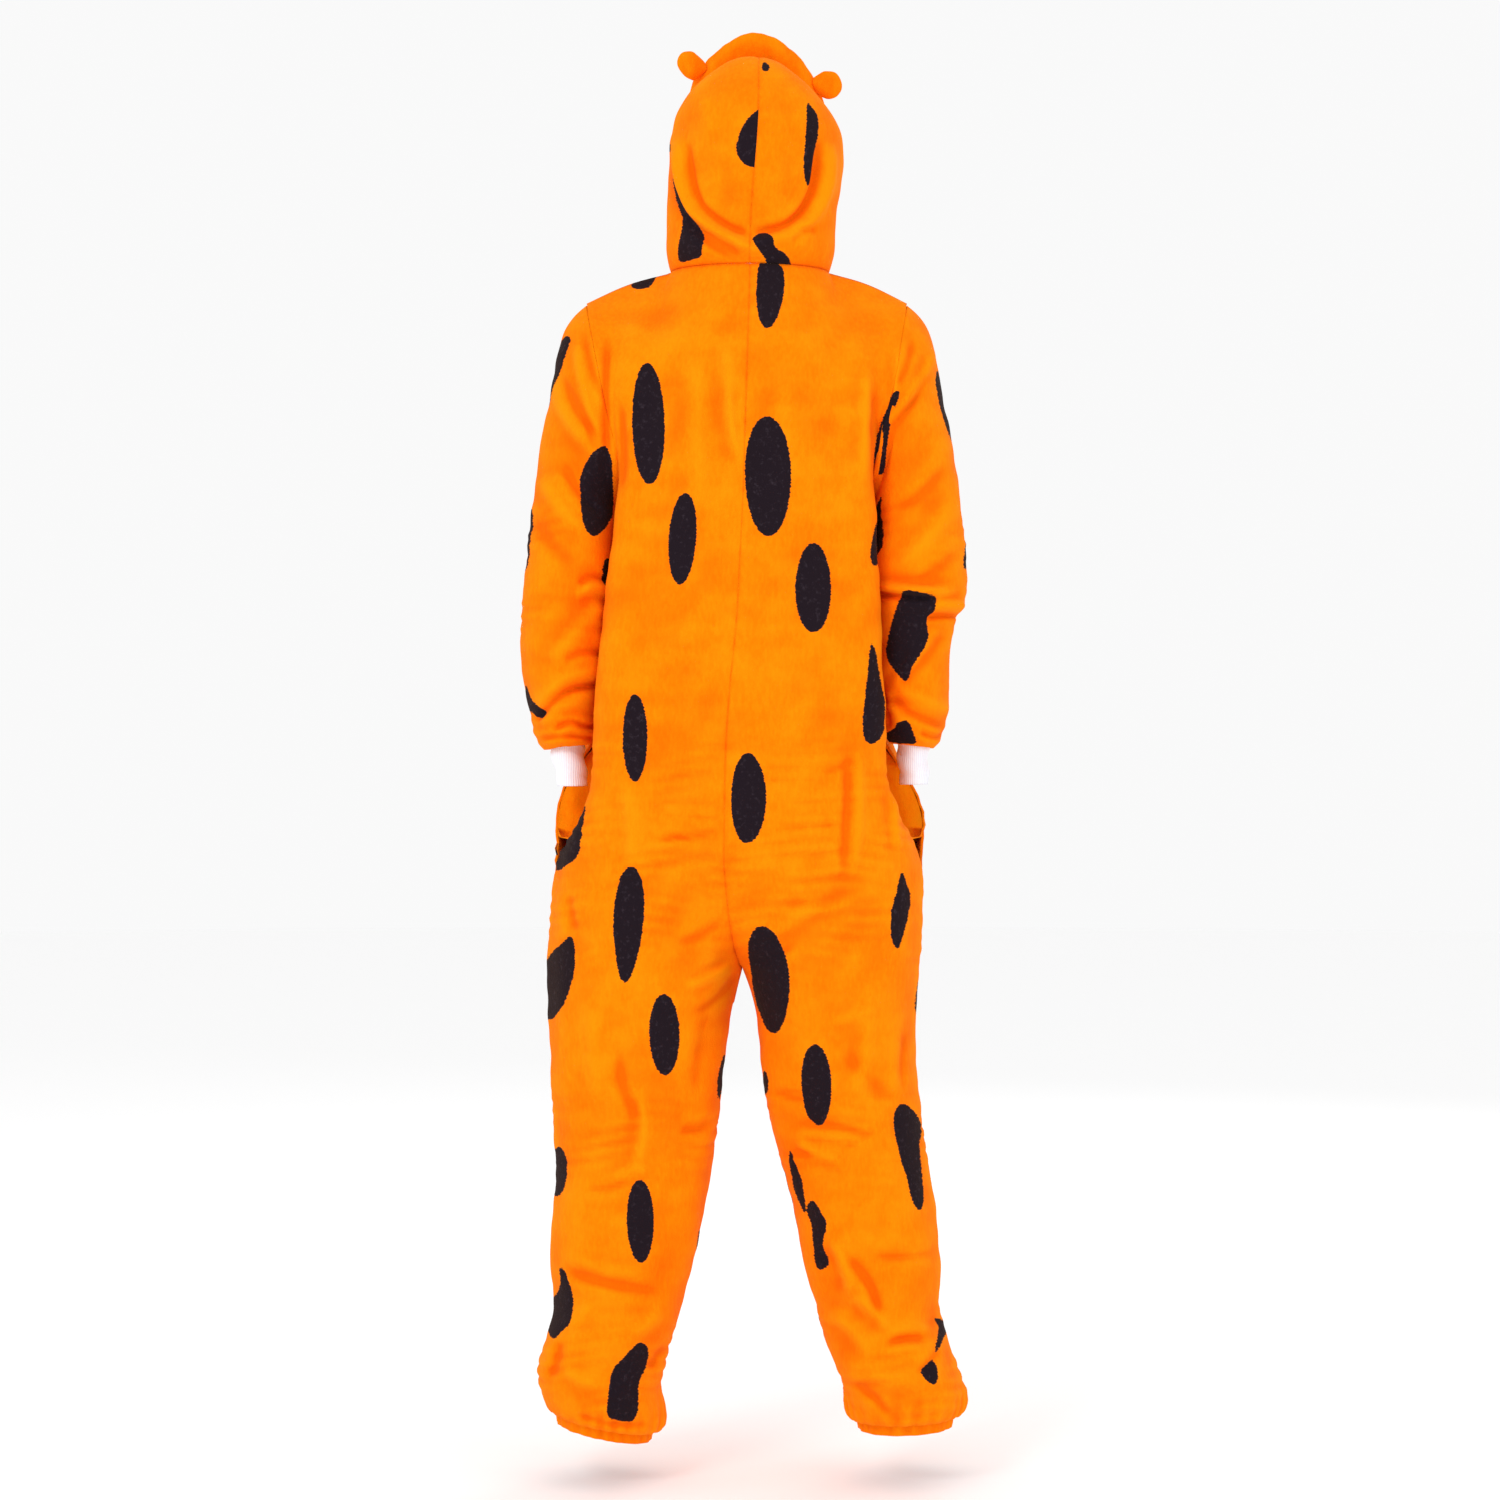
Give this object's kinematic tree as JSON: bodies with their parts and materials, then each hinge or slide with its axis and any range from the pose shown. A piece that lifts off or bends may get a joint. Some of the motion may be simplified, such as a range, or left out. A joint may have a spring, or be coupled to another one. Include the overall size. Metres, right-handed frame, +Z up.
{
  "type": "hooded animal onesie",
  "caption": "Adult hooded onesie of plush orange fleece with long black oval spots, round ears, padded brim, white rib cuffs, side pockets and gathered ankles, in its hollow worn form.",
  "frame": {"origin": "between the wearer's shoulders at the base of the neck, where the garment hangs from the wearer", "axes": "+Z up, -Y towards the wearer's front, +X towards the wearer's left"},
  "size_m": [0.5594, 0.2741, 1.7612],
  "materials": {
    "orange_fleece": "brushed plush fleece",
    "white_rib": "rib knit",
    "orange_button": "satin"
  },
  "bodies": {
    "root": {"back_left": "orange_fleece", "front_left": "orange_fleece", "sleeve_left": "orange_fleece", "hood_left": "orange_fleece", "hem_left": "orange_fleece", "ear_left": "orange_fleece", "cuff_left": "white_rib", "pocket_left": "orange_fleece", "back_right": "orange_fleece", "front_right": "orange_fleece", "sleeve_right": "orange_fleece", "hood_right": "orange_fleece", "hem_right": "orange_fleece", "ear_right": "orange_fleece", "cuff_right": "white_rib", "pocket_right": "orange_fleece", "brim": "orange_fleece", "placket": "orange_fleece", "button_1": "orange_button", "button_2": "orange_button", "button_3": "orange_button", "button_4": "orange_button", "button_5": "orange_button"}
  },
  "joints": []
}
